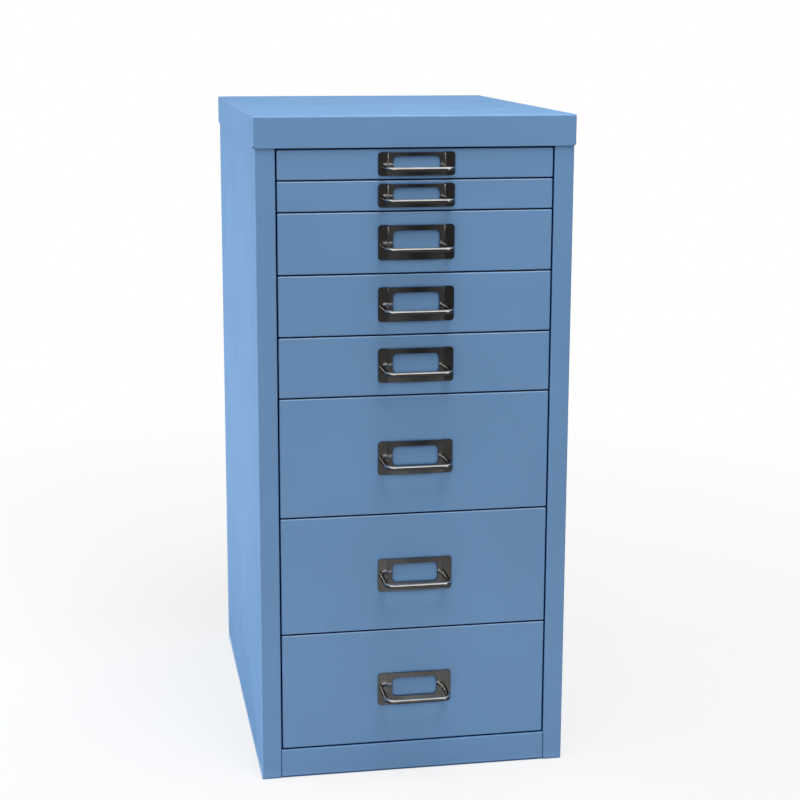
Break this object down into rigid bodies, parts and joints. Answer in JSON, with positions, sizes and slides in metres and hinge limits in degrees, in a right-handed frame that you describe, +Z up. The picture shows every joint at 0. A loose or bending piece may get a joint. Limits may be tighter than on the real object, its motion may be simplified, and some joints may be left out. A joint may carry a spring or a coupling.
{
  "type": "multi-drawer cabinet",
  "caption": "Free-standing sheet-steel cabinet with one column of sliding drawers of three heights, each with a label plate and a fixed bow pull.",
  "frame": {"origin": "middle of the case's underside, on the base panel", "axes": "+X to the right seen from the front, +Y to the back, +Z up"},
  "size_m": [0.279, 0.4028, 0.59],
  "materials": {
    "case_paint": "satin light blue powder coat",
    "drawer_paint": "satin light blue powder coat",
    "bright_trim": "polished plating"
  },
  "bodies": {
    "case": {"top_cap": "case_paint", "left_side": "case_paint", "right_side": "case_paint", "back_panel": "case_paint", "base_panel": "case_paint", "bottom_rail": "case_paint", "top_rail": "case_paint", "left_rear_upright": "case_paint", "right_rear_upright": "case_paint", "left_runner_1": "case_paint", "right_runner_1": "case_paint", "left_runner_2": "case_paint", "right_runner_2": "case_paint", "left_runner_3": "case_paint", "right_runner_3": "case_paint", "left_runner_4": "case_paint", "right_runner_4": "case_paint", "left_runner_5": "case_paint", "right_runner_5": "case_paint", "left_runner_6": "case_paint", "right_runner_6": "case_paint", "left_runner_7": "case_paint", "right_runner_7": "case_paint", "left_runner_8": "case_paint", "right_runner_8": "case_paint"},
    "drawer_1": {"drawer_1_tray": "drawer_paint", "drawer_1_front": "drawer_paint", "drawer_1_label_plate": "bright_trim", "drawer_1_pull": "bright_trim"},
    "drawer_2": {"drawer_2_tray": "drawer_paint", "drawer_2_front": "drawer_paint", "drawer_2_label_plate": "bright_trim", "drawer_2_pull": "bright_trim"},
    "drawer_3": {"drawer_3_tray": "drawer_paint", "drawer_3_front": "drawer_paint", "drawer_3_label_plate": "bright_trim", "drawer_3_pull": "bright_trim"},
    "drawer_4": {"drawer_4_tray": "drawer_paint", "drawer_4_front": "drawer_paint", "drawer_4_label_plate": "bright_trim", "drawer_4_pull": "bright_trim"},
    "drawer_5": {"drawer_5_tray": "drawer_paint", "drawer_5_front": "drawer_paint", "drawer_5_label_plate": "bright_trim", "drawer_5_pull": "bright_trim"},
    "drawer_6": {"drawer_6_tray": "drawer_paint", "drawer_6_front": "drawer_paint", "drawer_6_label_plate": "bright_trim", "drawer_6_pull": "bright_trim"},
    "drawer_7": {"drawer_7_tray": "drawer_paint", "drawer_7_front": "drawer_paint", "drawer_7_label_plate": "bright_trim", "drawer_7_pull": "bright_trim"},
    "drawer_8": {"drawer_8_tray": "drawer_paint", "drawer_8_front": "drawer_paint", "drawer_8_label_plate": "bright_trim", "drawer_8_pull": "bright_trim"}
  },
  "joints": [
    {"name": "drawer_1_slide", "type": "slide", "parent": "case", "child": "drawer_1", "axis": [0, -1, 0], "range_m": [0, 0.3]},
    {"name": "drawer_2_slide", "type": "slide", "parent": "case", "child": "drawer_2", "axis": [0, -1, 0], "range_m": [0, 0.3]},
    {"name": "drawer_3_slide", "type": "slide", "parent": "case", "child": "drawer_3", "axis": [0, -1, 0], "range_m": [0, 0.3]},
    {"name": "drawer_4_slide", "type": "slide", "parent": "case", "child": "drawer_4", "axis": [0, -1, 0], "range_m": [0, 0.3]},
    {"name": "drawer_5_slide", "type": "slide", "parent": "case", "child": "drawer_5", "axis": [0, -1, 0], "range_m": [0, 0.3]},
    {"name": "drawer_6_slide", "type": "slide", "parent": "case", "child": "drawer_6", "axis": [0, -1, 0], "range_m": [0, 0.3]},
    {"name": "drawer_7_slide", "type": "slide", "parent": "case", "child": "drawer_7", "axis": [0, -1, 0], "range_m": [0, 0.3]},
    {"name": "drawer_8_slide", "type": "slide", "parent": "case", "child": "drawer_8", "axis": [0, -1, 0], "range_m": [0, 0.3]}
  ]
}
